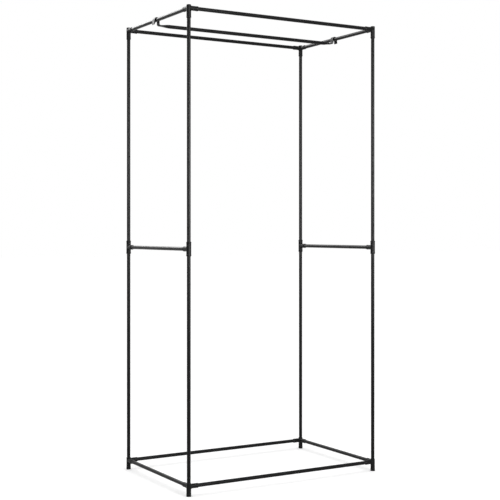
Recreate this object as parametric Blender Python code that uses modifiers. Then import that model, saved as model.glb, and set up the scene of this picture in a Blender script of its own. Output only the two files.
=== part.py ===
"""Knock-down wardrobe frame of painted steel tube, plugged together with moulded connectors.

Eight upright tubes stand in two tiers. Corner connectors carry the long and the side rails at the
bottom and the top, T connectors carry one side rail half way up, and a hanging rod with pressed,
bent ends hooks over the top side rails. Metres, +Z up, the front at -Y, and the origin on the
floor under the middle of the frame.
"""
import math

import bmesh
import bpy
from mathutils import Matrix, Vector

# Steel tubes, cut to length
TUBE_DIAMETER = 0.0127
TUBE_WALL = 0.0008
UPRIGHT_TUBE_LENGTH = 0.792
LONG_RAIL_TUBE_LENGTH = 0.728
SIDE_RAIL_TUBE_LENGTH = 0.455

# Fits: the gap between pieces that touch, also around a tube in its socket
SEAT_GAP = 0.0003

# Connectors: every reach is measured from the centre where the tube axes cross
CORNER_SLEEVE_WALL = 0.0012
TEE_SLEEVE_WALL = 0.00145
SOCKET_NECK_DROP = 0.0002
SOCKET_REACH = 0.034
SOCKET_END_WALL = 0.00185
TOP_ARM_REACH = 0.0325
FOOT_ARM_REACH = 0.029
CORNER_CROWN_REACH = 0.011
TOP_CROWN_THICKNESS = 0.0024
TEE_ARM_REACH = 0.024
TEE_WEB_THICKNESS = 0.002
COLLAR_RISE = 0.0004
COLLAR_LENGTH = 0.0045
COLLAR_SLOPE_LENGTH = 0.0012
MOUTH_TAPER_DEPTH = 0.001
MOUTH_TAPER_LENGTH = 0.002
CROWN_ROUND = 0.0011
FILLET_RADIUS = 0.0055
FILLET_INSET = 0.0008

# Foot glides, pushed into the open lower ends of the bottom corner connectors
GLIDE_FLANGE_DIAMETER = 0.0166
GLIDE_FLANGE_HEIGHT = 0.0035
GLIDE_PLUG_HEIGHT = 0.008
GLIDE_PLUG_CHAMFER = 0.0009
GLIDE_FLOOR_ROUND = 0.001
GLIDE_TOP_ROUND = 0.0005

# Hanging rod, a tube whose ends are pressed flat and bent over the side rails
ROD_DIAMETER = 0.0127
ROD_WALL = 0.0008
ROD_FLAT_THICKNESS = 0.0033
ROD_TAPER_LENGTH = 0.038
ROD_BEND_RADIUS = 0.0055
ROD_DROP = 0.0175
ROD_TAIL_LENGTH = 0.0165
ROD_TAIL_LEAN = math.radians(6.0)
ROD_SET_BACK = 0.008

# Facets
ROUND_STEPS = 16
ROD_TAPER_STEPS = 4
ROD_BEND_STEPS = 3
ROD_HOOK_STEPS = 7
FILLET_SIDES_RESOLUTION = 3
FILLET_STEPS = 3
SMOOTH_ANGLE = math.radians(35.0)
MERGE_DISTANCE = 0.00001
OVERCUT = 0.002

# Radii and levels that follow from the sizes above
TUBE_RADIUS = TUBE_DIAMETER / 2
ROD_RADIUS = ROD_DIAMETER / 2
BORE_RADIUS = TUBE_RADIUS + SEAT_GAP
SOCKET_END = BORE_RADIUS + SOCKET_END_WALL
RAIL_END = SOCKET_END + SEAT_GAP
UPRIGHT_SPACING_X = LONG_RAIL_TUBE_LENGTH + 2 * RAIL_END
UPRIGHT_SPACING_Y = SIDE_RAIL_TUBE_LENGTH + 2 * RAIL_END
FOOT_END_Z = GLIDE_FLANGE_HEIGHT + SEAT_GAP
BOTTOM_RAIL_Z = FOOT_END_Z + FOOT_ARM_REACH
LOWER_UPRIGHT_Z = GLIDE_FLANGE_HEIGHT + GLIDE_PLUG_HEIGHT + SEAT_GAP
MIDDLE_RAIL_Z = LOWER_UPRIGHT_Z + UPRIGHT_TUBE_LENGTH + SEAT_GAP + TEE_WEB_THICKNESS / 2
UPPER_UPRIGHT_Z = MIDDLE_RAIL_Z + TEE_WEB_THICKNESS / 2 + SEAT_GAP
TOP_CEILING_Z = UPPER_UPRIGHT_Z + UPRIGHT_TUBE_LENGTH + SEAT_GAP
TOP_BORE_REACH = CORNER_CROWN_REACH - TOP_CROWN_THICKNESS
TOP_RAIL_Z = TOP_CEILING_Z - TOP_BORE_REACH
ROD_AXIS_Z = TOP_RAIL_Z - ROD_DROP

ALONG_X = Matrix.Rotation(math.radians(90.0), 4, "Y")
ALONG_Y = Matrix.Rotation(math.radians(-90.0), 4, "X")

# The four uprights: name, the sign of X, the sign of Y, and the quarter turns of a corner
# connector whose sockets point along +X and +Y
UPRIGHTS = (
    ("front_left", -1, -1, 0),
    ("front_right", 1, -1, 1),
    ("back_right", 1, 1, 2),
    ("back_left", -1, 1, 3),
)


def clear_scene():
    """Removes every object, so that the script can be run again in the same file."""
    for old in list(bpy.data.objects):
        bpy.data.objects.remove(old, do_unlink=True)


def new_collection(name):
    """Makes a collection and links it to the scene."""
    collection = bpy.data.collections.new(name)
    bpy.context.scene.collection.children.link(collection)
    return collection


def new_material(name, colour, roughness, metallic):
    """Makes a Principled material."""
    material = bpy.data.materials.new(name)
    material.use_nodes = True
    shader = material.node_tree.nodes["Principled BSDF"]
    shader.inputs["Base Color"].default_value = (*colour, 1.0)
    shader.inputs["Roughness"].default_value = roughness
    shader.inputs["Metallic"].default_value = metallic
    return material


def new_empty(name, location, collection, parent=None):
    """Makes an empty that carries other objects."""
    empty = bpy.data.objects.new(name, None)
    empty.location = location
    empty.empty_display_size = TUBE_DIAMETER
    empty.parent = parent
    collection.objects.link(empty)
    return empty


def new_part(name, mesh, placement, collection, parent):
    """Places one named piece of the product, which may share its mesh with others."""
    part = bpy.data.objects.new(name, mesh)
    part.parent = parent
    part.matrix_basis = placement
    collection.objects.link(part)
    return part


def new_tool(name, data, placement, tools):
    """Places a working solid, which is never part of the product."""
    tool = bpy.data.objects.new(name, data)
    tool.matrix_basis = placement
    tool.hide_render = True
    tool.display_type = "WIRE"
    tools.objects.link(tool)
    return tool


def evaluated_mesh(tool, name, material):
    """Turns an object with its modifiers into a plain mesh, smooth on its round faces."""
    bpy.context.view_layer.update()
    depsgraph = bpy.context.evaluated_depsgraph_get()
    mesh = bpy.data.meshes.new_from_object(tool.evaluated_get(depsgraph))
    mesh.name = name
    mesh.materials.clear()
    mesh.materials.append(material)
    mesh.shade_smooth()
    mesh.set_sharp_from_angle(angle=SMOOTH_ANGLE)
    return mesh


def turned(name, profile, placement, tools, closed=False):
    """Turns a profile of (radius, height) points about Z; it runs down the outer side."""
    mesh = bpy.data.meshes.new(name)
    points = [(radius, 0.0, height) for radius, height in profile]
    edges = [(i, i + 1) for i in range(len(points) - 1)]
    if closed:
        edges.append((len(points) - 1, 0))
    mesh.from_pydata(points, edges, [])
    tool = new_tool(name, mesh, placement, tools)
    screw = tool.modifiers.new("turn", "SCREW")
    screw.axis = "Z"
    screw.angle = 2 * math.pi
    screw.steps = ROUND_STEPS
    screw.render_steps = ROUND_STEPS
    screw.use_merge_vertices = True
    screw.merge_threshold = MERGE_DISTANCE
    return tool


def tube_mesh(name, length, material, tools):
    """Makes an open steel tube that stands on the origin."""
    bore = TUBE_RADIUS - TUBE_WALL
    wall = [(TUBE_RADIUS, length), (TUBE_RADIUS, 0.0), (bore, 0.0), (bore, length)]
    return evaluated_mesh(turned(name, wall, Matrix(), tools, closed=True), name, material)


def mouth_profile(radius, mouth):
    """Outline of a sleeve from its collared, tapered mouth down to the plain sleeve."""
    collar = radius + COLLAR_RISE
    return [
        (0.0, mouth),
        (collar - MOUTH_TAPER_DEPTH, mouth),
        (collar, mouth - MOUTH_TAPER_LENGTH),
        (collar, mouth - COLLAR_LENGTH),
        (radius, mouth - COLLAR_LENGTH - COLLAR_SLOPE_LENGTH),
    ]


def upside_down(profile):
    """Mirrors an outline in height, keeping it in top to bottom order."""
    return [(radius, -height) for radius, height in reversed(profile)]


def crown_profile(radius, crown):
    """Outline of the short closed end of a corner connector."""
    return [(0.0, crown), (radius - CROWN_ROUND, crown), (radius, crown - CROWN_ROUND)]


def socket(name, radius, direction, tools):
    """Makes the solid neck and collar of a rail socket, from the connector's centre outwards."""
    outline = mouth_profile(radius, SOCKET_REACH) + [(radius, 0.0), (0.0, 0.0)]
    return turned(name, outline, direction, tools)


def bore(name, start, end, direction, tools):
    """Makes the cutter of a tube's bore between two reaches."""
    outline = [(0.0, end), (BORE_RADIUS, end), (BORE_RADIUS, start), (0.0, start)]
    return turned(name, outline, direction, tools)


def fillet(name, radius, quarter_turn, down, tools):
    """Makes the round bend that fills the corner between the upright sleeve and a socket."""
    bend = radius + FILLET_RADIUS
    side = -1.0 if down else 1.0
    points = [Vector((0.0, 0.0, side * (bend + FILLET_RADIUS / 2)))]
    for step in range(FILLET_STEPS + 1):
        angle = math.radians(90.0) * step / FILLET_STEPS
        points.append(Vector((bend * (1 - math.cos(angle)), 0.0, side * bend * (1 - math.sin(angle)))))
    points.append(Vector((bend + FILLET_RADIUS / 2, 0.0, 0.0)))

    curve = bpy.data.curves.new(name, "CURVE")
    curve.dimensions = "3D"
    curve.bevel_depth = radius - FILLET_INSET
    curve.bevel_resolution = FILLET_SIDES_RESOLUTION
    curve.use_fill_caps = True
    spline = curve.splines.new("POLY")
    spline.points.add(len(points) - 1)
    for point, place in zip(spline.points, points):
        point.co = (*place, 1.0)
    turn = Matrix.Rotation(quarter_turn * math.radians(90.0), 4, "Z")
    guide = new_tool(name + "_curve", curve, turn, tools)

    bpy.context.view_layer.update()
    depsgraph = bpy.context.evaluated_depsgraph_get()
    mesh = bpy.data.meshes.new_from_object(guide.evaluated_get(depsgraph))
    welded = bmesh.new()
    welded.from_mesh(mesh)
    bmesh.ops.remove_doubles(welded, verts=welded.verts, dist=MERGE_DISTANCE)
    bmesh.ops.recalc_face_normals(welded, faces=welded.faces)
    welded.to_mesh(mesh)
    welded.free()
    bend_tool = new_tool(name, mesh, guide.matrix_world.copy(), tools)
    bpy.data.objects.remove(guide, do_unlink=True)
    return bend_tool


def moulding(body, additions, cutters, material):
    """Joins the additions to the body, cuts the bores and returns the finished mesh."""
    for addition in additions:
        join = body.modifiers.new(addition.name, "BOOLEAN")
        join.operation = "UNION"
        join.solver = "EXACT"
        join.object = addition
    for cutter in cutters:
        cut = body.modifiers.new(cutter.name, "BOOLEAN")
        cut.operation = "DIFFERENCE"
        cut.solver = "EXACT"
        cut.object = cutter
    return evaluated_mesh(body, body.name, material)


def corner_mesh(name, arm_reach, upright_bore_top, material, tools):
    """Moulds a corner connector: an upright sleeve with rail sockets along +X and +Y."""
    radius = BORE_RADIUS + CORNER_SLEEVE_WALL
    neck = radius - SOCKET_NECK_DROP
    outline = crown_profile(radius, CORNER_CROWN_REACH) + upside_down(mouth_profile(radius, arm_reach))
    body = turned(name, outline, Matrix(), tools)
    additions = [
        socket(name + "_socket_x", neck, ALONG_X, tools),
        socket(name + "_socket_y", neck, ALONG_Y, tools),
        fillet(name + "_fillet_x", neck, 0, True, tools),
        fillet(name + "_fillet_y", neck, 1, True, tools),
    ]
    cutters = [
        bore(name + "_bore_x", SOCKET_END, SOCKET_REACH + OVERCUT, ALONG_X, tools),
        bore(name + "_bore_y", SOCKET_END, SOCKET_REACH + OVERCUT, ALONG_Y, tools),
        bore(name + "_bore_z", -arm_reach - OVERCUT, upright_bore_top, Matrix(), tools),
    ]
    return moulding(body, additions, cutters, material)


def tee_mesh(name, material, tools):
    """Moulds a T connector: an upright sleeve with one rail socket along +Y."""
    radius = BORE_RADIUS + TEE_SLEEVE_WALL
    neck = radius - SOCKET_NECK_DROP
    mouth = mouth_profile(radius, TEE_ARM_REACH)
    body = turned(name, mouth + upside_down(mouth), Matrix(), tools)
    additions = [
        socket(name + "_socket", neck, ALONG_Y, tools),
        fillet(name + "_fillet_lower", neck, 1, True, tools),
        fillet(name + "_fillet_upper", neck, 1, False, tools),
    ]
    half_web = TEE_WEB_THICKNESS / 2
    cutters = [
        bore(name + "_bore_side", SOCKET_END, SOCKET_REACH + OVERCUT, ALONG_Y, tools),
        bore(name + "_bore_upper", half_web, TEE_ARM_REACH + OVERCUT, Matrix(), tools),
        bore(name + "_bore_lower", -TEE_ARM_REACH - OVERCUT, -half_web, Matrix(), tools),
    ]
    return moulding(body, additions, cutters, material)


def glide_mesh(name, material, tools):
    """Turns a foot glide: a flange that stands on the floor under a chamfered plug."""
    flange = GLIDE_FLANGE_DIAMETER / 2
    plug = BORE_RADIUS - SEAT_GAP
    plug_top = GLIDE_FLANGE_HEIGHT + GLIDE_PLUG_HEIGHT
    outline = [
        (0.0, plug_top),
        (plug - GLIDE_PLUG_CHAMFER, plug_top),
        (plug, plug_top - GLIDE_PLUG_CHAMFER),
        (plug, GLIDE_FLANGE_HEIGHT),
        (flange - GLIDE_TOP_ROUND, GLIDE_FLANGE_HEIGHT),
        (flange, GLIDE_FLANGE_HEIGHT - GLIDE_TOP_ROUND),
        (flange, GLIDE_FLOOR_ROUND),
        (flange - GLIDE_FLOOR_ROUND, 0.0),
        (0.0, 0.0),
    ]
    return evaluated_mesh(turned(name, outline, Matrix(), tools), name, material)


def arc_angles(start, end, steps):
    """Angles at even steps along an arc, after its start."""
    return [start + (end - start) * step / steps for step in range(1, steps + 1)]


def rod_stations():
    """Stations of half the rod: x, z, the heading in the XZ plane, and how far it is pressed flat.

    x is measured from the middle of the rod and z from its axis. The hook's facets, not their
    corners, clear the side rail by the seat gap.
    """
    half_turn = math.radians(180.0)
    quarter_turn = math.radians(90.0)
    half_facet = (half_turn - ROD_TAIL_LEAN) / ROD_HOOK_STEPS / 2
    hook_x = UPRIGHT_SPACING_X / 2
    hook_radius = (TUBE_RADIUS + SEAT_GAP) / math.cos(half_facet) + ROD_FLAT_THICKNESS / 2
    bend_x = hook_x - hook_radius - ROD_BEND_RADIUS
    stations = [(0.0, 0.0, 0.0, 0.0)]
    for step in range(ROD_TAPER_STEPS + 1):
        share = step / ROD_TAPER_STEPS
        pressed = share * share * (3 - 2 * share)
        stations.append((bend_x - ROD_TAPER_LENGTH * (1 - share), 0.0, 0.0, pressed))
    for angle in arc_angles(0.0, quarter_turn, ROD_BEND_STEPS):
        x = bend_x + ROD_BEND_RADIUS * math.sin(angle)
        z = ROD_BEND_RADIUS * (1 - math.cos(angle))
        stations.append((x, z, angle, 1.0))
    for angle in [half_turn] + arc_angles(half_turn, ROD_TAIL_LEAN, ROD_HOOK_STEPS):
        x = hook_x + hook_radius * math.cos(angle)
        z = ROD_DROP + hook_radius * math.sin(angle)
        stations.append((x, z, angle - quarter_turn, 1.0))
    x, z, heading, pressed = stations[-1]
    tail_x = x + ROD_TAIL_LENGTH * math.cos(heading)
    tail_z = z + ROD_TAIL_LENGTH * math.sin(heading)
    stations.append((tail_x, tail_z, heading, pressed))
    return stations


def rod_section(pressed):
    """Outline of the pressed tube: two half circles and two flats, of the tube's own girth."""
    thickness = ROD_DIAMETER + (ROD_FLAT_THICKNESS - ROD_DIAMETER) * pressed
    flat = math.pi * (ROD_DIAMETER - thickness) / 2
    outline = []
    for step in range(ROUND_STEPS):
        angle = 2 * math.pi * (step + 0.5) / ROUND_STEPS
        shift = math.copysign(flat / 2, math.cos(angle))
        outline.append((shift + thickness / 2 * math.cos(angle), thickness / 2 * math.sin(angle)))
    return outline


def hanging_rod(name, material, collection, parent):
    """Lofts half the rod's outer skin, mirrors it and thickens it inwards to the tube's wall."""
    loft = bmesh.new()
    rings = []
    for x, z, heading, pressed in rod_stations():
        normal = Vector((-math.sin(heading), 0.0, math.cos(heading)))
        centre = Vector((x, 0.0, z))
        ring = [loft.verts.new(centre + Vector((0.0, across, 0.0)) + normal * out)
                for across, out in rod_section(pressed)]
        rings.append(ring)
    for ring, following in zip(rings, rings[1:]):
        for step in range(ROUND_STEPS):
            after = (step + 1) % ROUND_STEPS
            loft.faces.new((ring[step], ring[after], following[after], following[step]))
    mesh = bpy.data.meshes.new(name)
    loft.to_mesh(mesh)
    loft.free()
    mesh.materials.append(material)
    mesh.shade_smooth()
    mesh.set_sharp_from_angle(angle=SMOOTH_ANGLE)

    rod = new_part(name, mesh, Matrix(), collection, parent)
    mirror = rod.modifiers.new("other half", "MIRROR")
    mirror.use_axis = (True, False, False)
    mirror.merge_threshold = MERGE_DISTANCE
    wall = rod.modifiers.new("tube wall", "SOLIDIFY")
    wall.thickness = ROD_WALL
    wall.offset = -1.0
    wall.use_even_offset = True
    wall.use_rim = True
    return rod


def place_uprights_and_connectors(meshes, collection, frame):
    """Places what stands on each of the four upright axes, from the floor up."""
    for place, sign_x, sign_y, turns in UPRIGHTS:
        x = sign_x * UPRIGHT_SPACING_X / 2
        y = sign_y * UPRIGHT_SPACING_Y / 2
        corner_turn = Matrix.Rotation(turns * math.radians(90.0), 4, "Z")
        tee_turn = Matrix.Rotation(math.radians(180.0) if sign_y > 0 else 0.0, 4, "Z")
        stack = (
            ("foot_glide_", "glide", 0.0, Matrix()),
            ("bottom_corner_connector_", "bottom_corner", BOTTOM_RAIL_Z, corner_turn),
            ("lower_upright_tube_", "upright", LOWER_UPRIGHT_Z, Matrix()),
            ("tee_connector_", "tee", MIDDLE_RAIL_Z, tee_turn),
            ("upper_upright_tube_", "upright", UPPER_UPRIGHT_Z, Matrix()),
            ("top_corner_connector_", "top_corner", TOP_RAIL_Z, corner_turn),
        )
        for prefix, kind, z, turn in stack:
            placement = Matrix.Translation((x, y, z)) @ turn
            new_part(prefix + place, meshes[kind], placement, collection, frame)


def place_rails(meshes, collection, frame):
    """Places the long rails at the front and back and the side rails at three heights."""
    half_x = UPRIGHT_SPACING_X / 2
    half_y = UPRIGHT_SPACING_Y / 2
    for side, sign in (("front", -1), ("back", 1)):
        for level, z in (("bottom", BOTTOM_RAIL_Z), ("top", TOP_RAIL_Z)):
            placement = Matrix.Translation((RAIL_END - half_x, sign * half_y, z)) @ ALONG_X
            new_part(f"{level}_long_rail_{side}", meshes["long_rail"], placement, collection, frame)
    for side, sign in (("left", -1), ("right", 1)):
        for level, z in (("bottom", BOTTOM_RAIL_Z), ("middle", MIDDLE_RAIL_Z), ("top", TOP_RAIL_Z)):
            placement = Matrix.Translation((sign * half_x, RAIL_END - half_y, z)) @ ALONG_Y
            new_part(f"{level}_side_rail_{side}", meshes["side_rail"], placement, collection, frame)


def main():
    """Builds the wardrobe frame."""
    clear_scene()
    product = new_collection("wardrobe_frame")
    tools = new_collection("wardrobe_frame_tools")
    paint = new_material("black_painted_steel", (0.018, 0.018, 0.019), 0.38, 0.0)
    plastic = new_material("black_moulded_plastic", (0.024, 0.025, 0.026), 0.5, 0.0)
    rubber = new_material("black_soft_plastic", (0.015, 0.015, 0.015), 0.7, 0.0)

    meshes = {
        "upright": tube_mesh("upright_tube", UPRIGHT_TUBE_LENGTH, paint, tools),
        "long_rail": tube_mesh("long_rail_tube", LONG_RAIL_TUBE_LENGTH, paint, tools),
        "side_rail": tube_mesh("side_rail_tube", SIDE_RAIL_TUBE_LENGTH, paint, tools),
        "top_corner": corner_mesh("top_corner", TOP_ARM_REACH, TOP_BORE_REACH, plastic, tools),
        "bottom_corner": corner_mesh(
            "bottom_corner", FOOT_ARM_REACH, CORNER_CROWN_REACH + OVERCUT, plastic, tools),
        "tee": tee_mesh("tee", plastic, tools),
        "glide": glide_mesh("foot_glide", rubber, tools),
    }
    frame = new_empty("standing_frame", (0.0, 0.0, 0.0), product)
    place_uprights_and_connectors(meshes, product, frame)
    place_rails(meshes, product, frame)

    rod_slide = new_empty("hanging_rod_slide", (0.0, ROD_SET_BACK, ROD_AXIS_Z), product, frame)
    hanging_rod("hanging_rod", paint, product, rod_slide)


main()
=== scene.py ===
"""Finish of a knock-down wardrobe frame: enamelled tubes, moulded connectors, glides and a hanging rod.

The packed frame gives every place and most sizes. Each operator makes one kind of piece in its
final shape and material, in place of the plain solid that carries it, and the last one sets the
studio: floor, lamps, background and camera.
"""
import math

import bmesh
import bpy
from bpy.props import FloatProperty, FloatVectorProperty, IntProperty, PointerProperty
from bpy.types import Operator, Panel, PropertyGroup
from mathutils import Matrix, Vector


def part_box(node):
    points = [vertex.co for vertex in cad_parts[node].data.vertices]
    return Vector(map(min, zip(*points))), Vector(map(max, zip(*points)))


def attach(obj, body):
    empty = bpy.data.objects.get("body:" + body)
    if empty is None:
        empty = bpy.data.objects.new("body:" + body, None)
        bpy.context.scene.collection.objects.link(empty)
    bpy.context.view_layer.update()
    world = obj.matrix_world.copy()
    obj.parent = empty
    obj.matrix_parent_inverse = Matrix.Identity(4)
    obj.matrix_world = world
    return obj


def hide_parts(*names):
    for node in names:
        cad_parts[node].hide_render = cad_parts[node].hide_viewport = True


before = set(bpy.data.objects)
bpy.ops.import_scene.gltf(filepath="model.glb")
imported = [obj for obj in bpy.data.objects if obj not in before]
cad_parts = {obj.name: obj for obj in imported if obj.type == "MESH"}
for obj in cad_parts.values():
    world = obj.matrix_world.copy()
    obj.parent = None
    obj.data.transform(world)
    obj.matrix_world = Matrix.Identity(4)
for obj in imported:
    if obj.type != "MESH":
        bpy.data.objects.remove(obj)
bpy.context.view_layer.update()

bl_info = {
    "name": "Wardrobe Frame Finish",
    "version": (1, 0, 0),
    "blender": (4, 5, 0),
    "location": "3D View > Sidebar > Wardrobe",
    "description": "Makes the finished pieces of a plugged-together wardrobe frame and its studio",
    "category": "Object",
}

# The uprights, with the quarter turns of a corner connector whose sockets point along +X and +Y
UPRIGHTS = {"front_left": 0, "front_right": 1, "back_right": 2, "back_left": 3}
LEVELS = ("bottom", "middle", "top")
SIDES = ("left", "right")
FACES = ("front", "back")

ALONG_X = Matrix.Rotation(math.radians(90.0), 4, "Y")
ALONG_Y = Matrix.Rotation(math.radians(-90.0), 4, "X")
WHITE = (1.0, 1.0, 1.0, 1.0)
SENSOR_WIDTH = 36.0

# Points this near are one, edges sharper than this look crisp, and cutters reach this far out
MERGE_DISTANCE = 0.00001
CRISP_ANGLE = math.radians(40.0)
OVERCUT = 0.002

# How far one pass of softening moves a point towards its neighbours
SOFTENING_SHARE = 0.5

# What the enamel reads: half the tube's length on its object, and the places on the straight tube
HALF_LENGTH = "half_length"
STRAIGHT_PLACE = "straight_place"

# Grains of the patterns to the metre, and the share of the drawing lines' grains along the tube
CLOUD_GRAINS = 14.0
DRAWN_GRAINS = 900.0
DRAWN_STRETCH = 0.04
SPECK_GRAINS = 1400.0
PEEL_GRAINS = 650.0
MOULDED_CLOUD_GRAINS = 120.0
ERODED_GRAINS = 2600.0
PATCH_GRAINS = 600.0

# Enamel: where each pattern starts and is full, how much it shows, and the place and width of the weld
SCUFF_RANGE = (0.45, 0.6)
SCUFF_FADE = 0.3
SPECK_RANGE = (0.78, 0.82)
SPECK_SHARE = 0.6
DULL_RANGE = (0.4, 0.65)
DULL_SHARE = 0.15
RUBBED_ROUGHNESS = 0.2
CLOUD_ROUGHNESS = 0.12
WELD_ANGLE = 2.4
WELD_WIDTH = (0.02, 0.09)
MARK_HEIGHT = 0.8
ENAMEL_RELIEF = 0.00004

# Plastic: flow marks round the gate, rubbed edges, satin, parting line and eroded texture
FLOW_TURNS = 900.0
FLOW_WANDER = 9.0
FLOW_SHARE = 0.12
EDGE_RANGE = (0.504, 0.53)
HANDLED_RANGE = (0.35, 0.6)
HANDLED_SHARES = (0.3, 1.0)
SATIN_RANGE = (0.3, 0.8)
SATIN_ROUGHNESS = (-0.06, 0.1)
PARTING_WIDTH = (0.00005, 0.00022)
ERODED_HEIGHT = 0.5
PLASTIC_RELIEF = 0.0001

# Glides: dust near the floor in patches
DUST_HEIGHT = 0.0016
DUST_SHARE = 0.8
DUST_RANGE = (0.4, 0.65)
PATCH_RANGE = (0.3, 0.7)
GLIDE_ROUGHNESS = (0.6, 0.8)

# Strength of the relief, and the low specular levels that keep black pieces black in a white room
RELIEF = 0.5
SOFT_RELIEF = 0.3
BLACK_SHINE = 0.09
SOFT_SHINE = 0.2
PAPER_ROUGHNESS = 0.9

# How quickly the pressed rod's outline turns from its flat face into its round edge
FACE_TURN = 4.0


def middle(node):
    """Centre of a packed piece."""
    low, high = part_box(node)
    return (low + high) / 2


def extent(node):
    """Size of a packed piece along X, Y and Z."""
    low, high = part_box(node)
    return high - low


TUBE_DIAMETER = extent("lower_upright_tube_front_left").x
RAIL_HEIGHT = {level: middle(f"{level}_side_rail_left").z for level in LEVELS}


class TubeSettings(PropertyGroup):
    """Shape and enamel of the steel tubes."""

    wall: FloatProperty(
        name="Wall", description="Thickness of the tube's wall", default=0.0008,
        unit="LENGTH", precision=4)
    rim: FloatProperty(
        name="Rim", description="Broken edge of the cut ends", default=0.0002,
        unit="LENGTH", precision=4)
    sides: IntProperty(name="Sides", description="Facets round a tube", default=64, min=12)
    enamel: FloatVectorProperty(
        name="Enamel", description="Colour of the enamel", default=(0.003, 0.003, 0.0032),
        subtype="COLOR", size=3, min=0.0, max=1.0)
    worn_enamel: FloatVectorProperty(
        name="Rubbed enamel", description="Colour of the enamel where it is rubbed or dusty",
        default=(0.028, 0.028, 0.0285), subtype="COLOR", size=3, min=0.0, max=1.0)
    scuff_reach: FloatProperty(
        name="Scuff reach", description="How far the scuffs reach past a connector", default=0.012,
        unit="LENGTH", precision=4)
    gloss: FloatProperty(
        name="Roughness", description="Roughness of clean enamel", default=0.32,
        subtype="FACTOR", min=0.0, max=1.0)


class ConnectorSettings(PropertyGroup):
    """Shape and plastic of the moulded connectors."""

    play: FloatProperty(
        name="Play", description="Gap between a tube and its socket", default=0.0003,
        unit="LENGTH", precision=4)
    collar_rise: FloatProperty(
        name="Collar rise", description="Height of the collar over the sleeve", default=0.0004,
        unit="LENGTH", precision=4)
    collar_length: FloatProperty(
        name="Collar length", description="Length of the collar from the mouth", default=0.0045,
        unit="LENGTH", precision=4)
    collar_slope: FloatProperty(
        name="Collar slope", description="Length of the slope behind the collar", default=0.0012,
        unit="LENGTH", precision=4)
    taper_depth: FloatProperty(
        name="Mouth taper depth", description="How far the mouth tapers inwards", default=0.001,
        unit="LENGTH", precision=4)
    taper_length: FloatProperty(
        name="Mouth taper length", description="Length of the mouth's taper", default=0.002,
        unit="LENGTH", precision=4)
    crown_round: FloatProperty(
        name="Crown edge", description="Broken edge of the closed end", default=0.0011,
        unit="LENGTH", precision=4)
    fillet: FloatProperty(
        name="Fillet radius", description="Radius of the bend between upright sleeve and socket",
        default=0.0055, unit="LENGTH", precision=4)
    fillet_inset: FloatProperty(
        name="Fillet inset", description="How much thinner the bend is than the sleeves it joins",
        default=0.0008, unit="LENGTH", precision=4)
    socket_end_wall: FloatProperty(
        name="Socket end wall", description="Wall between the upright's bore and a rail's bore",
        default=0.00185, unit="LENGTH", precision=4)
    dimple_radius: FloatProperty(
        name="Gate mark radius", description="Radius of the shallow gate mark on the crown",
        default=0.0016, unit="LENGTH", precision=4)
    dimple_depth: FloatProperty(
        name="Gate mark depth", description="Depth of the gate mark", default=0.00025,
        unit="LENGTH", precision=5)
    grain: FloatProperty(
        name="Surface step", description="Size of the faces of the moulded surface", default=0.00045,
        unit="LENGTH", precision=5)
    softening: IntProperty(
        name="Softening", description="Passes that round the moulded edges and corners",
        default=12, min=0)
    sides: IntProperty(
        name="Sides", description="Facets round a sleeve before moulding", default=64, min=12)
    bend_steps: IntProperty(
        name="Bend steps", description="Sections round a bend before moulding", default=16, min=4)
    plastic: FloatVectorProperty(
        name="Plastic", description="Colour of the plastic", default=(0.003, 0.0033, 0.0035),
        subtype="COLOR", size=3, min=0.0, max=1.0)
    worn_plastic: FloatVectorProperty(
        name="Rubbed plastic", description="Colour of the plastic along its edges",
        default=(0.022, 0.0225, 0.0235), subtype="COLOR", size=3, min=0.0, max=1.0)
    gloss: FloatProperty(
        name="Roughness", description="Roughness of the plastic", default=0.4,
        subtype="FACTOR", min=0.0, max=1.0)


class GlideSettings(PropertyGroup):
    """Shape and soft plastic of the foot glides."""

    flange_height: FloatProperty(
        name="Flange height", description="Height of the flange under the connector", default=0.0035,
        unit="LENGTH", precision=4)
    floor_round: FloatProperty(
        name="Floor edge", description="Radius of the edge at the floor", default=0.001,
        unit="LENGTH", precision=4)
    top_round: FloatProperty(
        name="Top edge", description="Radius of the flange's upper edge", default=0.0005,
        unit="LENGTH", precision=4)
    plug_round: FloatProperty(
        name="Plug edge", description="Radius of the plug's upper edge", default=0.0009,
        unit="LENGTH", precision=4)
    sides: IntProperty(name="Sides", description="Facets round a glide", default=64, min=12)
    plastic: FloatVectorProperty(
        name="Soft plastic", description="Colour of the glides", default=(0.005, 0.005, 0.0052),
        subtype="COLOR", size=3, min=0.0, max=1.0)
    dust: FloatVectorProperty(
        name="Floor dust", description="Colour of the dust at the floor",
        default=(0.045, 0.0435, 0.0415), subtype="COLOR", size=3, min=0.0, max=1.0)


class RodSettings(PropertyGroup):
    """Shape of the hanging rod with its pressed and bent ends."""

    flat: FloatProperty(
        name="Pressed thickness", description="Thickness of the pressed ends", default=0.0033,
        unit="LENGTH", precision=4)
    pinch: FloatProperty(
        name="Pinch", description="Hollow along the middle of each pressed face", default=0.0004,
        unit="LENGTH", precision=4)
    taper: FloatProperty(
        name="Taper length", description="Length over which the tube is pressed flat", default=0.038,
        unit="LENGTH", precision=4)
    bend: FloatProperty(
        name="Bend radius", description="Radius of the bend before the hook", default=0.0055,
        unit="LENGTH", precision=4)
    tail: FloatProperty(
        name="Tail length", description="Straight end of the hook", default=0.0165,
        unit="LENGTH", precision=4)
    lean: FloatProperty(
        name="Tail lean", description="Lean of the hook's tail", default=math.radians(6.0),
        subtype="ANGLE")
    taper_steps: IntProperty(
        name="Taper steps", description="Sections along the taper", default=24, min=4)
    bend_steps: IntProperty(
        name="Bend steps", description="Sections round the bend", default=10, min=3)
    hook_steps: IntProperty(
        name="Hook steps", description="Sections round the hook", default=24, min=6)


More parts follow.
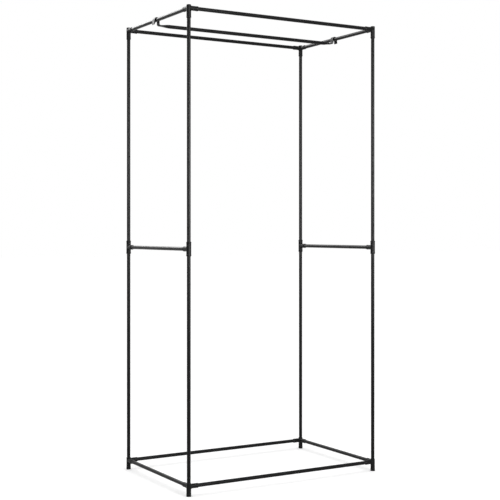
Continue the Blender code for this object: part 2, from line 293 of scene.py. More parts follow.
class StudioSettings(PropertyGroup):
    """Floor, lamps, background and camera."""

    floor_size: FloatProperty(
        name="Floor size", description="Side of the floor", default=60.0, unit="LENGTH")
    floor_colour: FloatVectorProperty(
        name="Floor", description="Colour of the floor", default=(0.86, 0.86, 0.86),
        subtype="COLOR", size=3, min=0.0, max=1.0)
    floor_glow: FloatProperty(
        name="Floor white", description="White that the camera sees on top of the lit floor",
        default=0.38, min=0.0, max=1.0)
    room_level: FloatProperty(
        name="Room level", description="Strength of the light from all round", default=0.5, min=0.0)
    sky_level: FloatProperty(
        name="Overhead level", description="Level of the broad light from above", default=0.3, min=0.0)
    sky_spread: FloatProperty(
        name="Overhead spread", description="Width of the broad light from above",
        default=math.radians(60.0), subtype="ANGLE")
    softbox_level: FloatProperty(
        name="Softbox brightness",
        description="Brightness of the softbox's face, where white paper is 1", default=8.0, min=0.0)
    softbox_size: FloatVectorProperty(
        name="Softbox size", description="Width and height of the softbox", default=(1.2, 0.9),
        unit="LENGTH", size=2)
    softbox_place: FloatVectorProperty(
        name="Softbox place", description="Place of the softbox", default=(0.3, -3.0, 1.3),
        subtype="TRANSLATION", unit="LENGTH", size=3)
    front_strip_level: FloatProperty(
        name="Front strip brightness", description="Brightness of the strip that the uprights mirror",
        default=34.0, min=0.0)
    front_strip_size: FloatVectorProperty(
        name="Front strip size", description="Width and height of the front strip", default=(2.1, 0.9),
        unit="LENGTH", size=2)
    front_strip_place: FloatVectorProperty(
        name="Front strip place", description="Place of the front strip", default=(-0.3, -3.1, 1.3),
        subtype="TRANSLATION", unit="LENGTH", size=3)
    back_strip_level: FloatProperty(
        name="Back strip brightness", description="Brightness of the strip that the side rails mirror",
        default=8.5, min=0.0)
    back_strip_size: FloatVectorProperty(
        name="Back strip size", description="Width and height of the back strip", default=(3.0, 1.4),
        unit="LENGTH", size=2)
    back_strip_place: FloatVectorProperty(
        name="Back strip place", description="Place of the back strip", default=(-1.0, 3.2, 3.0),
        subtype="TRANSLATION", unit="LENGTH", size=3)
    camera_place: FloatVectorProperty(
        name="Camera", description="Place of the camera", default=(-2.0069, -3.3828, 0.8649),
        subtype="TRANSLATION", unit="LENGTH", size=3)
    camera_turn: FloatProperty(
        name="Camera turn", description="Turn of the level camera about the vertical",
        default=math.radians(-30.666), subtype="ANGLE")
    lens: FloatProperty(
        name="Focal length", description="Focal length on a 36 mm wide sensor", default=78.33,
        unit="CAMERA")
    shift: FloatProperty(
        name="Vertical shift", description="Upward shift of the camera's frame", default=-0.0386)


def arc(centre_radius, centre_height, radius, start, end, steps):
    """Points of (radius, height) on a quarter-round, from one angle to another."""
    points = []
    for step in range(steps + 1):
        angle = math.radians(start + (end - start) * step / steps)
        points.append((
            centre_radius + radius * math.cos(angle), centre_height + radius * math.sin(angle)))
    return points


def turned_mesh(name, outline, sides, closed=False):
    """Turns an outline of (radius, height) points about Z; it runs from the top down the outside."""
    turns = [2 * math.pi * step / sides for step in range(sides)]
    points = []
    rings = []
    for radius, height in outline:
        first = len(points)
        if radius > 0.0:
            points += [(radius * math.cos(turn), radius * math.sin(turn), height) for turn in turns]
            rings.append(range(first, first + sides))
        else:
            points.append((0.0, 0.0, height))
            rings.append([first] * sides)
    bands = list(zip(rings, rings[1:]))
    if closed:
        bands.append((rings[-1], rings[0]))
    faces = []
    for upper, lower in bands:
        for step in range(sides):
            after = (step + 1) % sides
            corners = (upper[step], lower[step], lower[after], upper[after])
            # A point on the axis is named twice, and the face there has three corners
            faces.append(list(dict.fromkeys(corners)))
    mesh = bpy.data.meshes.new(name)
    mesh.from_pydata(points, [], faces)
    return mesh


def elbow_mesh(name, radius, bend, sides, steps):
    """Makes a quarter bend of round bar from -Z to +X, with short straight ends inside the sleeves."""
    shape = bmesh.new()
    ring = bmesh.ops.create_circle(shape, segments=sides, radius=radius)["verts"]
    bmesh.ops.translate(shape, verts=ring, vec=(0, 0, -bend))
    edges = list({edge for vert in ring for edge in vert.link_edges})
    bmesh.ops.spin(
        shape, geom=ring + edges, cent=(bend, 0, -bend), axis=(0, 1, 0), angle=math.pi / 2, steps=steps)
    bmesh.ops.holes_fill(shape, edges=[edge for edge in shape.edges if edge.is_boundary])
    bmesh.ops.recalc_face_normals(shape, faces=shape.faces)
    mesh = bpy.data.meshes.new(name)
    shape.to_mesh(mesh)
    shape.free()
    return mesh


def gathered(name, pieces):
    """Gathers placed meshes into one mesh and removes them."""
    shape = bmesh.new()
    for mesh, placement in pieces:
        start = len(shape.verts)
        shape.from_mesh(mesh)
        shape.verts.ensure_lookup_table()
        bmesh.ops.transform(shape, matrix=placement, verts=shape.verts[start:])
        bpy.data.meshes.remove(mesh)
    whole = bpy.data.meshes.new(name)
    shape.to_mesh(whole)
    shape.free()
    return whole


def linked_object(name, mesh):
    """Adds an object for a mesh to the scene."""
    made = bpy.data.objects.new(name, mesh)
    bpy.context.scene.collection.objects.link(made)
    return made


def settled_mesh(worker, name, helpers=()):
    """Returns a worker's mesh with its modifiers applied, and removes the worker and its helpers."""
    bpy.context.view_layer.update()
    depsgraph = bpy.context.evaluated_depsgraph_get()
    mesh = bpy.data.meshes.new_from_object(worker.evaluated_get(depsgraph))
    mesh.name = name
    for spent in (worker, *helpers):
        data = spent.data
        bpy.data.objects.remove(spent, do_unlink=True)
        bpy.data.meshes.remove(data)
    return mesh


def finished_piece(name, mesh, placement, body, node, material):
    """Places a finished piece, lets it ride on its body and lets it stand for the packed piece."""
    mesh.materials.clear()
    mesh.materials.append(material)
    mesh.shade_smooth()
    mesh.set_sharp_from_angle(angle=CRISP_ANGLE)
    piece = linked_object(name, mesh)
    piece.matrix_world = placement
    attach(piece, body)
    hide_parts(node)
    return piece


def add_node(tree, kind, inputs=None, **options):
    """Adds a node; options set its choices, and inputs its sockets by a value or a link."""
    made = tree.nodes.new(kind)
    for option, value in options.items():
        setattr(made, option, value)
    for socket, value in (inputs or {}).items():
        if isinstance(value, bpy.types.NodeSocket):
            tree.links.new(value, made.inputs[socket])
        else:
            made.inputs[socket].default_value = value
    return made


def blank_material(name):
    """Makes a material and returns it with its node tree and its main shader."""
    material = bpy.data.materials.new(name)
    material.use_nodes = True
    return material, material.node_tree, material.node_tree.nodes["Principled BSDF"]


def arithmetic(tree, operation, first, second=0.0):
    """Adds one step of arithmetic and returns its result."""
    return add_node(tree, "ShaderNodeMath", {0: first, 1: second}, operation=operation).outputs[0]


def speckle(tree, place, scale, detail=2.0, roughness=0.5):
    """Noise of a given number of grains to the metre."""
    return add_node(tree, "ShaderNodeTexNoise", {
        "Vector": place, "Scale": scale, "Detail": detail, "Roughness": roughness}).outputs["Fac"]


def remapped(tree, value, reach, results=(0.0, 1.0)):
    """Maps a value from one range to another, held at the ends."""
    return add_node(tree, "ShaderNodeMapRange", {
        "Value": value, "From Min": reach[0], "From Max": reach[1],
        "To Min": results[0], "To Max": results[1],
    }).outputs["Result"]


def blended(tree, share, first, second):
    """Blends two colours by a share."""
    mix = add_node(tree, "ShaderNodeMix", {"Factor": share}, data_type="RGBA")
    mix.inputs["A"].default_value = (*first, 1.0)
    mix.inputs["B"].default_value = (*second, 1.0)
    return mix.outputs["Result"]


def add_relief(tree, shader, height, strength, distance):
    """Raises the surface by a height pattern."""
    bump = add_node(tree, "ShaderNodeBump", {
        "Height": height, "Strength": strength, "Distance": distance})
    tree.links.new(bump.outputs["Normal"], shader.inputs["Normal"])


def enamel_material(name, settings, along, covered, bent=False):
    """Black enamel on steel tube, with orange peel, drawing lines, the weld, dust specks and scuffs.

    along is the local axis of the tube, from 0 to 2, and its origin lies half way. The enamel is scuffed
    next to the covered length at each end. Half the tube's length is a property of its object, and each
    place on a bent tube's mesh holds the place it has on the straight tube.
    """
    material, tree, shader = blank_material(name)
    if bent:
        place = add_node(tree, "ShaderNodeAttribute", attribute_name=STRAIGHT_PLACE).outputs["Vector"]
    else:
        place = add_node(tree, "ShaderNodeTexCoord").outputs["Object"]
    axes = add_node(tree, "ShaderNodeSeparateXYZ", {"Vector": place}).outputs
    across = [axes[axis] for axis in range(3) if axis != along]
    stretched = add_node(tree, "ShaderNodeMapping", {"Vector": place})
    stretched.inputs["Scale"].default_value = [
        DRAWN_STRETCH if axis == along else 1.0 for axis in range(3)]
    length = add_node(tree, "ShaderNodeAttribute", attribute_type="OBJECT", attribute_name=HALF_LENGTH)

    cloud = speckle(tree, place, CLOUD_GRAINS, detail=3.0)
    drawn = speckle(tree, stretched.outputs["Vector"], DRAWN_GRAINS, detail=3.0, roughness=0.7)
    from_end = arithmetic(
        tree, "SUBTRACT", length.outputs["Fac"], arithmetic(tree, "ABSOLUTE", axes[along]))
    fading = remapped(tree, from_end, (covered, covered + settings.scuff_reach), (0.0, SCUFF_FADE))
    scuffed = remapped(tree, arithmetic(tree, "SUBTRACT", drawn, fading), SCUFF_RANGE)
    dots = speckle(tree, place, SPECK_GRAINS, detail=0.0)
    specks = remapped(tree, dots, SPECK_RANGE, (0.0, SPECK_SHARE))
    dull = remapped(tree, cloud, DULL_RANGE, (0.0, DULL_SHARE))
    worn = arithmetic(tree, "MAXIMUM", arithmetic(tree, "MAXIMUM", scuffed, specks), dull)
    colour = blended(tree, worn, settings.enamel, settings.worn_enamel)
    tree.links.new(colour, shader.inputs["Base Color"])
    uneven = arithmetic(
        tree, "ADD", arithmetic(tree, "MULTIPLY", worn, RUBBED_ROUGHNESS),
        arithmetic(tree, "MULTIPLY", cloud, CLOUD_ROUGHNESS))
    rough = arithmetic(tree, "ADD", uneven, settings.gloss - CLOUD_ROUGHNESS / 2)
    tree.links.new(rough, shader.inputs["Roughness"])

    turn = arithmetic(tree, "ARCTAN2", across[0], across[1])
    from_weld = arithmetic(tree, "ABSOLUTE", arithmetic(tree, "SUBTRACT", turn, WELD_ANGLE))
    weld = remapped(tree, from_weld, WELD_WIDTH, (1.0, 0.0))
    marks = arithmetic(tree, "MULTIPLY", arithmetic(tree, "ADD", weld, drawn), MARK_HEIGHT)
    peel = speckle(tree, place, PEEL_GRAINS, detail=1.0)
    add_relief(tree, shader, arithmetic(tree, "ADD", peel, marks), RELIEF, ENAMEL_RELIEF)
    shader.inputs["Specular IOR Level"].default_value = BLACK_SHINE
    return material


def plastic_material(name, settings, parting_axis):
    """Satin black moulded plastic: eroded texture, flow marks, paler rubbed edges and a parting line.

    parting_axis is the local axis square to the parting plane, from 0 to 2.
    """
    material, tree, shader = blank_material(name)
    place = add_node(tree, "ShaderNodeTexCoord").outputs["Object"]
    axes = add_node(tree, "ShaderNodeSeparateXYZ", {"Vector": place}).outputs
    from_gate = add_node(tree, "ShaderNodeVectorMath", {0: place}, operation="LENGTH").outputs["Value"]

    cloud = speckle(tree, place, MOULDED_CLOUD_GRAINS, detail=3.0)
    wavy = arithmetic(
        tree, "ADD", arithmetic(tree, "MULTIPLY", from_gate, FLOW_TURNS),
        arithmetic(tree, "MULTIPLY", cloud, FLOW_WANDER))
    flow = remapped(tree, arithmetic(tree, "SINE", wavy), (-1.0, 1.0), (0.0, FLOW_SHARE))
    edge = add_node(tree, "ShaderNodeNewGeometry").outputs["Pointiness"]
    handled = remapped(tree, cloud, HANDLED_RANGE, HANDLED_SHARES)
    worn = arithmetic(tree, "MULTIPLY", remapped(tree, edge, EDGE_RANGE), handled)
    share = arithmetic(tree, "MAXIMUM", worn, flow)
    colour = blended(tree, share, settings.plastic, settings.worn_plastic)
    tree.links.new(colour, shader.inputs["Base Color"])
    satin = [settings.gloss + more for more in SATIN_ROUGHNESS]
    rough = remapped(tree, arithmetic(tree, "ADD", cloud, flow), SATIN_RANGE, satin)
    tree.links.new(rough, shader.inputs["Roughness"])

    eroded = speckle(tree, place, ERODED_GRAINS, roughness=0.6)
    from_line = arithmetic(tree, "ABSOLUTE", axes[parting_axis])
    line = remapped(tree, from_line, PARTING_WIDTH, (1.0, 0.0))
    height = arithmetic(tree, "ADD", arithmetic(tree, "MULTIPLY", eroded, ERODED_HEIGHT), line)
    add_relief(tree, shader, height, RELIEF, PLASTIC_RELIEF)
    shader.inputs["Specular IOR Level"].default_value = BLACK_SHINE
    return material


def glide_material(name, settings):
    """Dull soft plastic with floor dust round its lower edge."""
    material, tree, shader = blank_material(name)
    place = add_node(tree, "ShaderNodeTexCoord").outputs["Object"]
    height = add_node(tree, "ShaderNodeSeparateXYZ", {"Vector": place}).outputs["Z"]
    low = remapped(tree, height, (0.0, DUST_HEIGHT), (DUST_SHARE, 0.0))
    patches = speckle(tree, place, PATCH_GRAINS, detail=4.0, roughness=0.7)
    dust = arithmetic(tree, "MULTIPLY", low, remapped(tree, patches, DUST_RANGE))
    tree.links.new(blended(tree, dust, settings.plastic, settings.dust), shader.inputs["Base Color"])
    tree.links.new(remapped(tree, patches, PATCH_RANGE, GLIDE_ROUGHNESS), shader.inputs["Roughness"])
    add_relief(tree, shader, patches, SOFT_RELIEF, PLASTIC_RELIEF)
    shader.inputs["Specular IOR Level"].default_value = SOFT_SHINE
    return material


def tube_nodes():
    """Names of the packed tubes, each with its axis."""
    uprights = [(f"{tier}_upright_tube_{place}", 2) for tier in ("lower", "upper") for place in UPRIGHTS]
    long_rails = [(f"{level}_long_rail_{face}", 0) for level in ("bottom", "top") for face in FACES]
    side_rails = [(f"{level}_side_rail_{side}", 1) for level in LEVELS for side in SIDES]
    return uprights + long_rails + side_rails


def mouth_outline(settings, radius, mouth):
    """Outline of a sleeve from its collared, tapered mouth down to the plain sleeve."""
    collar = radius + settings.collar_rise
    return [
        (0.0, mouth),
        (collar - settings.taper_depth, mouth),
        (collar, mouth - settings.taper_length),
        (collar, mouth - settings.collar_length),
        (radius, mouth - settings.collar_length - settings.collar_slope),
    ]


def upside_down(outline):
    """Mirrors an outline in height."""
    return [(radius, -height) for radius, height in reversed(outline)]


def bore_mesh(name, start, end, radius, sides):
    """Makes the cutter of a tube's bore between two reaches."""
    return turned_mesh(name, [(0.0, end), (radius, end), (radius, start), (0.0, start)], sides)


def moulded_mesh(name, settings, solids, bores):
    """Melts overlapping solids into one softened moulding and cuts clean, crisp bores into it."""
    body = linked_object(name + "_body", gathered(name + "_body", solids))
    cutter = linked_object(name + "_bores", gathered(name + "_bores", bores))
    skin = body.modifiers.new("one skin", "REMESH")
    skin.mode = "VOXEL"
    skin.voxel_size = settings.grain
    soft = body.modifiers.new("soft edges", "SMOOTH")
    soft.factor = SOFTENING_SHARE
    soft.iterations = settings.softening
    cut = body.modifiers.new("bores", "BOOLEAN")
    cut.operation = "DIFFERENCE"
    cut.solver = "EXACT"
    cut.object = cutter
    seam = body.modifiers.new("merged seam", "WELD")
    seam.merge_threshold = MERGE_DISTANCE
    body.modifiers.new("plain faces", "TRIANGULATE").quad_method = "SHORTEST_DIAGONAL"
    return settled_mesh(body, name, [cutter])


def corner_mesh(name, settings, level, open_top):
    """Moulds a corner connector with sockets along +X and +Y round its own centre."""
    node = f"{level}_corner_connector_front_left"
    low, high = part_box(node)
    axis = middle("lower_upright_tube_front_left")
    height = RAIL_HEIGHT[level]
    reach = high.x - axis.x
    down = height - low.z
    crown = high.z - height
    radius = axis.x - low.x - settings.collar_rise
    bore = TUBE_DIAMETER / 2 + settings.play
    socket_end = bore + settings.socket_end_wall

    edge = settings.crown_round
    upright = [(0.0, crown), (radius - edge, crown), (radius, crown - edge)]
    upright += upside_down(mouth_outline(settings, radius, down))
    socket = mouth_outline(settings, radius, reach) + [(radius, 0.0), (0.0, 0.0)]
    bend = radius + settings.fillet
    thin = radius - settings.fillet_inset
    turn_y = Matrix.Rotation(math.radians(90.0), 4, "Z")
    solids = [
        (turned_mesh("upright", upright, settings.sides), Matrix()),
        (turned_mesh("socket_x", socket, settings.sides), ALONG_X),
        (turned_mesh("socket_y", socket, settings.sides), ALONG_Y),
        (elbow_mesh("bend_x", thin, bend, settings.sides, settings.bend_steps), Matrix()),
        (elbow_mesh("bend_y", thin, bend, settings.sides, settings.bend_steps), turn_y),
    ]
    if open_top:
        upright_top = crown + OVERCUT
    else:
        upright_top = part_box("upper_upright_tube_front_left")[1].z + settings.play - height
    bores = [
        (bore_mesh("bore_x", socket_end, reach + OVERCUT, bore, settings.sides), ALONG_X),
        (bore_mesh("bore_y", socket_end, reach + OVERCUT, bore, settings.sides), ALONG_Y),
        (bore_mesh("bore_z", -down - OVERCUT, upright_top, bore, settings.sides), Matrix()),
    ]
    if not open_top:
        bores.append((
            bore_mesh("gate_mark", crown - settings.dimple_depth, crown + OVERCUT,
                      settings.dimple_radius, settings.sides), Matrix()))
    return moulded_mesh(name, settings, solids, bores)


def tee_mesh(name, settings):
    """Moulds a T connector with its side socket along +Y round its own centre."""
    low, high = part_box("tee_connector_front_left")
    axis = middle("lower_upright_tube_front_left")
    height = RAIL_HEIGHT["middle"]
    reach = high.y - axis.y
    arm = high.z - height
    radius = axis.x - low.x - settings.collar_rise
    bore = TUBE_DIAMETER / 2 + settings.play
    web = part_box("upper_upright_tube_front_left")[0].z - settings.play - height

    mouth = mouth_outline(settings, radius, arm)
    socket = mouth_outline(settings, radius, reach) + [(radius, 0.0), (0.0, 0.0)]
    bend = radius + settings.fillet
    thin = radius - settings.fillet_inset
    turn_down = Matrix.Rotation(math.radians(90.0), 4, "Z")
    turn_up = Matrix.Scale(-1.0, 4, (0, 0, 1)) @ turn_down
    solids = [
        (turned_mesh("upright", mouth + upside_down(mouth), settings.sides), Matrix()),
        (turned_mesh("socket", socket, settings.sides), ALONG_Y),
        (elbow_mesh("bend_lower", thin, bend, settings.sides, settings.bend_steps), turn_down),
        (elbow_mesh("bend_upper", thin, bend, settings.sides, settings.bend_steps), turn_up),
    ]
    socket_end = bore + settings.socket_end_wall
    bores = [
        (bore_mesh("bore_y", socket_end, reach + OVERCUT, bore, settings.sides), ALONG_Y),
        (bore_mesh("bore_up", web, arm + OVERCUT, bore, settings.sides), Matrix()),
        (bore_mesh("bore_down", -arm - OVERCUT, -web, bore, settings.sides), Matrix()),
    ]
    return moulded_mesh(name, settings, solids, bores)


def rod_stations(settings, half_span, drop, rail_gap):
    """Stations of half the rod: x, z, the heading in the XZ plane, and how far it is pressed flat."""
    quarter = math.pi / 2
    hook = rail_gap + settings.flat / 2
    bend_x = half_span - hook - settings.bend
    stations = [(0.0, 0.0, 0.0, 0.0)]
    for step in range(settings.taper_steps + 1):
        share = step / settings.taper_steps
        pressed = share * share * (3 - 2 * share)
        stations.append((bend_x - settings.taper * (1 - share), 0.0, 0.0, pressed))
    for step in range(1, settings.bend_steps + 1):
        angle = quarter * step / settings.bend_steps
        stations.append((
            bend_x + settings.bend * math.sin(angle), settings.bend * (1 - math.cos(angle)), angle, 1.0))
    for step in range(settings.hook_steps + 1):
        angle = math.pi + (settings.lean - math.pi) * step / settings.hook_steps
        stations.append((
            half_span + hook * math.cos(angle), drop + hook * math.sin(angle), angle - quarter, 1.0))
    x, z, heading, pressed = stations[-1]
    stations.append((
        x + settings.tail * math.cos(heading), z + settings.tail * math.sin(heading), heading, pressed))
    return stations


def runs(stations):
    """Distance of each station from the first one along the rod."""
    reached = [0.0]
    for first, second in zip(stations, stations[1:]):
        reached.append(reached[-1] + math.dist(first[:2], second[:2]))
    return reached


def rod_section(settings, diameter, pressed, sides):
    """Outline of the pressed tube: round edges and two faces with a shallow hollow along each."""
    thickness = diameter + (settings.flat - diameter) * pressed
    flat = math.pi * (diameter - thickness) / 2
    outline = []
    for step in range(sides):
        angle = 2 * math.pi * (step + 0.5) / sides
        edge = math.cos(angle)
        outer = min(1.0, abs(edge) * FACE_TURN)
        across = math.copysign(flat / 2, edge) * outer + thickness / 2 * edge
        hollow = settings.pinch * pressed * (1.0 - outer)
        out = (thickness / 2 - hollow) * math.sin(angle)
        outline.append((across, out))
    return outline


def rod_mesh(name, tubes, settings, stations):
    """Lofts half the rod's skin, mirrors it and thickens it inwards to the tube's wall."""
    shape = bmesh.new()
    straight = shape.verts.layers.float_vector.new(STRAIGHT_PLACE)
    rings = []
    for (x, z, heading, pressed), run in zip(stations, runs(stations)):
        outward = Vector((-math.sin(heading), 0.0, math.cos(heading)))
        centre = Vector((x, 0.0, z))
        ring = []
        for across, out in rod_section(settings, TUBE_DIAMETER, pressed, tubes.sides):
            vert = shape.verts.new(centre + Vector((0.0, across, 0.0)) + outward * out)
            vert[straight] = (run, across, out)
            ring.append(vert)
        rings.append(ring)
    for ring, following in zip(rings, rings[1:]):
        for step in range(tubes.sides):
            after = (step + 1) % tubes.sides
            shape.faces.new((ring[step], ring[after], following[after], following[step]))
    half = bpy.data.meshes.new(name)
    shape.to_mesh(half)
    shape.free()
    worker = linked_object(name + "_half", half)
    mirror = worker.modifiers.new("other half", "MIRROR")
    mirror.merge_threshold = MERGE_DISTANCE
    wall = worker.modifiers.new("tube wall", "SOLIDIFY")
    wall.thickness = tubes.wall
    wall.offset = -1.0
    wall.use_even_offset = True
    return settled_mesh(worker, name)


class WARDROBE_OT_steel_tubes(Operator):
    """Make the enamelled uprights and rails"""

    bl_idname = "wardrobe.steel_tubes"
    bl_label = "Steel tubes"

    def execute(self, context):
        settings = context.scene.wardrobe_tubes
        covered = extent("top_corner_connector_front_left").y - TUBE_DIAMETER
        enamel = enamel_material("black_enamel_on_tube", settings, 2, covered)
        radius = TUBE_DIAMETER / 2
        bore = radius - settings.wall
        rim = settings.rim
        turns = (ALONG_X, ALONG_Y, Matrix())
        for node, axis in tube_nodes():
            half = extent(node)[axis] / 2
            end = [(bore, half - rim), (bore + rim, half), (radius - rim, half), (radius, half - rim)]
            outline = end + upside_down(end)
            mesh = turned_mesh("enamelled_" + node, outline, settings.sides, closed=True)
            tube = finished_piece(
                "enamelled_" + node, mesh, Matrix.Translation(middle(node)) @ turns[axis],
                "frame", node, enamel)
            tube[HALF_LENGTH] = half
        return {"FINISHED"}


class WARDROBE_OT_corner_connectors(Operator):
    """Make the moulded corner connectors at the foot and at the top of the uprights"""

    bl_idname = "wardrobe.corner_connectors"
    bl_label = "Corner connectors"

    def execute(self, context):
        settings = context.scene.wardrobe_connectors
        plastic = plastic_material("black_plastic_corner", settings, 1)
        for level, open_top in (("bottom", True), ("top", False)):
            mesh = corner_mesh(f"moulded_{level}_corner", settings, level, open_top)
            for place, turns in UPRIGHTS.items():
                centre = middle("lower_upright_tube_" + place)
                centre.z = RAIL_HEIGHT[level]
                turn = Matrix.Rotation(turns * math.radians(90.0), 4, "Z")
                finished_piece(
                    f"moulded_{level}_corner_{place}", mesh, Matrix.Translation(centre) @ turn,
                    "frame", f"{level}_corner_connector_{place}", plastic)
        return {"FINISHED"}


class WARDROBE_OT_tee_connectors(Operator):
    """Make the moulded T connectors half way up the uprights"""

    bl_idname = "wardrobe.tee_connectors"
    bl_label = "T connectors"

    def execute(self, context):
        settings = context.scene.wardrobe_connectors
        plastic = plastic_material("black_plastic_tee", settings, 0)
        mesh = tee_mesh("moulded_tee", settings)
        for place in UPRIGHTS:
            centre = middle("lower_upright_tube_" + place)
            centre.z = RAIL_HEIGHT["middle"]
            turn = Matrix.Rotation(math.pi if centre.y > 0 else 0.0, 4, "Z")
            finished_piece(
                "moulded_tee_" + place, mesh, Matrix.Translation(centre) @ turn,
                "frame", "tee_connector_" + place, plastic)
        return {"FINISHED"}


class WARDROBE_OT_foot_glides(Operator):
    """Make the soft foot glides under the uprights"""

    bl_idname = "wardrobe.foot_glides"
    bl_label = "Foot glides"

    def execute(self, context):
        settings = context.scene.wardrobe_glides
        size = extent("foot_glide_front_left")
        flange = size.x / 2
        shoulder = settings.flange_height
        plug = TUBE_DIAMETER / 2
        plug_round = settings.plug_round
        top_round = settings.top_round
        floor_round = settings.floor_round
        outline = [(0.0, size.z)]
        outline += arc(plug - plug_round, size.z - plug_round, plug_round, 90.0, 0.0, steps=4)
        outline += [(plug, shoulder)]
        outline += arc(flange - top_round, shoulder - top_round, top_round, 90.0, 0.0, steps=5)
        outline += arc(flange - floor_round, floor_round, floor_round, 0.0, -90.0, steps=6)
        outline += [(0.0, 0.0)]
        mesh = turned_mesh("soft_foot_glide", outline, settings.sides)
        material = glide_material("dull_soft_plastic", settings)
        for place in UPRIGHTS:
            centre = middle("lower_upright_tube_" + place)
            centre.z = 0.0
            finished_piece(
                "soft_foot_glide_" + place, mesh, Matrix.Translation(centre),
                "frame", "foot_glide_" + place, material)
        return {"FINISHED"}


class WARDROBE_OT_hanging_rod(Operator):
    """Make the hanging rod with its pressed hooks"""

    bl_idname = "wardrobe.hanging_rod"
    bl_label = "Hanging rod"

    def execute(self, context):
        tubes = context.scene.wardrobe_tubes
        settings = context.scene.wardrobe_rod
        place = middle("hanging_rod")
        place.x = 0.0
        place.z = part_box("hanging_rod")[0].z + TUBE_DIAMETER / 2
        half_span = middle("top_side_rail_right").x
        drop = RAIL_HEIGHT["top"] - place.z
        rail_gap = TUBE_DIAMETER / 2 + context.scene.wardrobe_connectors.play
        stations = rod_stations(settings, half_span, drop, rail_gap)
        mesh = rod_mesh("enamelled_hanging_rod", tubes, settings, stations)
        enamel = enamel_material("black_enamel_on_rod", tubes, 0, 0.0, bent=True)
        rod = finished_piece(
            "enamelled_hanging_rod", mesh, Matrix.Translation(place),
            "rod", "hanging_rod", enamel)
        rod[HALF_LENGTH] = runs(stations)[-1]
        return {"FINISHED"}


class WARDROBE_OT_studio(Operator):
    """Set the floor, the lamps, the white background and the camera"""

    bl_idname = "wardrobe.studio"
    bl_label = "Studio"

    def execute(self, context):
        settings = context.scene.wardrobe_studio
        context.scene.view_settings.view_transform = "Standard"
        lay_floor(settings)
        light_room(context.scene, settings)
        light_from_above(settings)
        hang_panel("softbox", settings.softbox_level, settings.softbox_size, settings.softbox_place)
        front_strip = hang_panel(
            "front_strip", settings.front_strip_level,
            settings.front_strip_size, settings.front_strip_place)
        back_strip = hang_panel(
            "back_strip", settings.back_strip_level,
            settings.back_strip_size, settings.back_strip_place)
        for strip in (front_strip, back_strip):
            strip.visible_diffuse = False
        set_camera(context.scene, settings)
        return {"FINISHED"}


def seen_directly(tree):
    """Gives 1 for the rays of the camera, of gloss and of glass, which see plain white."""
    rays = add_node(tree, "ShaderNodeLightPath").outputs
    seen = arithmetic(tree, "MAXIMUM", rays["Is Camera Ray"], rays["Is Glossy Ray"])
    return arithmetic(tree, "MAXIMUM", seen, rays["Is Transmission Ray"])


def lay_floor(settings):
    """Lays the pale floor, which keeps the frame's shadow."""
    shape = bmesh.new()
    bmesh.ops.create_grid(shape, x_segments=1, y_segments=1, size=settings.floor_size / 2)
    mesh = bpy.data.meshes.new("studio_floor")
    shape.to_mesh(mesh)
    shape.free()
    floor = linked_object("studio_floor", mesh)
    material, tree, shader = blank_material("pale_paper")
    shader.inputs["Base Color"].default_value = (*settings.floor_colour, 1.0)
    shader.inputs["Roughness"].default_value = PAPER_ROUGHNESS
    shader.inputs["Specular IOR Level"].default_value = 0.0
    shader.inputs["Emission Color"].default_value = WHITE
    glow = arithmetic(tree, "MULTIPLY", seen_directly(tree), settings.floor_glow)
    tree.links.new(glow, shader.inputs["Emission Strength"])
    mesh.materials.append(material)


def light_room(scene, settings):
    """Lights the room evenly and shows a white background to the camera and to gloss."""
    world = bpy.data.worlds.new("studio_room")
    world.use_nodes = True
    tree = world.node_tree
    tree.nodes.clear()
    seen = seen_directly(tree)
    room = add_node(tree, "ShaderNodeBackground", {"Color": WHITE, "Strength": settings.room_level})
    white = add_node(tree, "ShaderNodeBackground", {"Color": WHITE, "Strength": 1.0})
    mix = add_node(tree, "ShaderNodeMixShader", {0: seen, 1: room.outputs[0], 2: white.outputs[0]})
    add_node(tree, "ShaderNodeOutputWorld", {"Surface": mix.outputs[0]})
    scene.world = world


def light_from_above(settings):
    """Lights the scene evenly and softly from straight above."""
    lamp = bpy.data.lights.new("overhead_light", "SUN")
    lamp.energy = math.pi * settings.sky_level
    lamp.angle = settings.sky_spread
    light = bpy.data.objects.new("overhead_light", lamp)
    bpy.context.scene.collection.objects.link(light)


def hang_panel(name, level, size, place):
    """Hangs a bright panel that faces the middle of the top of the frame."""
    lamp = bpy.data.lights.new(name, "AREA")
    lamp.shape = "RECTANGLE"
    lamp.size, lamp.size_y = size
    lamp.energy = math.pi * size[0] * size[1] * level
    panel = bpy.data.objects.new(name, lamp)
    panel.location = place
    target = Vector((0.0, 0.0, RAIL_HEIGHT["top"]))
    panel.rotation_euler = (panel.location - target).to_track_quat("Z", "Y").to_euler()
    panel.visible_camera = False
    bpy.context.scene.collection.objects.link(panel)
    return panel


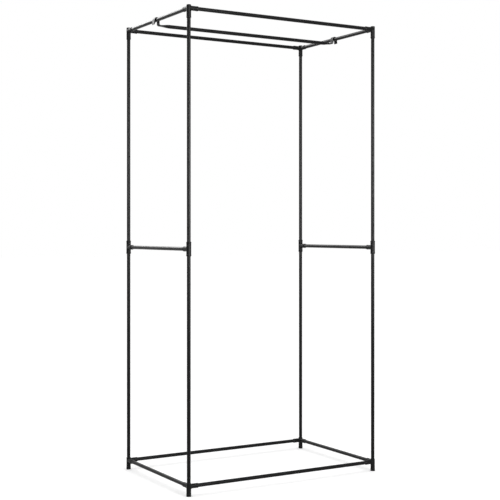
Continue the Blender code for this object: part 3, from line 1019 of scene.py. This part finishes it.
def set_camera(scene, settings):
    """Sets the level camera at the photograph's place and angle."""
    lens = bpy.data.cameras.new("view_camera")
    lens.sensor_width = SENSOR_WIDTH
    lens.lens = settings.lens
    lens.shift_y = settings.shift
    camera = bpy.data.objects.new("view_camera", lens)
    camera.location = settings.camera_place
    camera.rotation_euler = (math.pi / 2, 0.0, settings.camera_turn)
    scene.collection.objects.link(camera)
    scene.camera = camera


PIECES = (
    WARDROBE_OT_steel_tubes,
    WARDROBE_OT_corner_connectors,
    WARDROBE_OT_tee_connectors,
    WARDROBE_OT_foot_glides,
    WARDROBE_OT_hanging_rod,
    WARDROBE_OT_studio,
)
GROUPS = {
    "wardrobe_tubes": TubeSettings,
    "wardrobe_connectors": ConnectorSettings,
    "wardrobe_glides": GlideSettings,
    "wardrobe_rod": RodSettings,
    "wardrobe_studio": StudioSettings,
}


class WARDROBE_PT_finish(Panel):
    """Lists the settings and the pieces of the wardrobe frame"""

    bl_label = "Wardrobe Frame Finish"
    bl_space_type = "VIEW_3D"
    bl_region_type = "UI"
    bl_category = "Wardrobe"

    def draw(self, context):
        for group, kind in GROUPS.items():
            box = self.layout.box()
            box.label(text=kind.__doc__)
            for setting in kind.__annotations__:
                box.prop(getattr(context.scene, group), setting)
        for piece in PIECES:
            self.layout.operator(piece.bl_idname)


def register():
    """Registers the settings, the operators and the panel."""
    for kind in (*GROUPS.values(), *PIECES, WARDROBE_PT_finish):
        bpy.utils.register_class(kind)
    for group, kind in GROUPS.items():
        setattr(bpy.types.Scene, group, PointerProperty(type=kind))


def unregister():
    """Takes the settings, the operators and the panel out again."""
    for group in GROUPS:
        delattr(bpy.types.Scene, group)
    for kind in (WARDROBE_PT_finish, *PIECES, *GROUPS.values()):
        bpy.utils.unregister_class(kind)


def main():
    """Makes every piece in order."""
    register()
    bpy.ops.wardrobe.steel_tubes()
    bpy.ops.wardrobe.corner_connectors()
    bpy.ops.wardrobe.tee_connectors()
    bpy.ops.wardrobe.foot_glides()
    bpy.ops.wardrobe.hanging_rod()
    bpy.ops.wardrobe.studio()


if __name__ == "__main__":
    main()
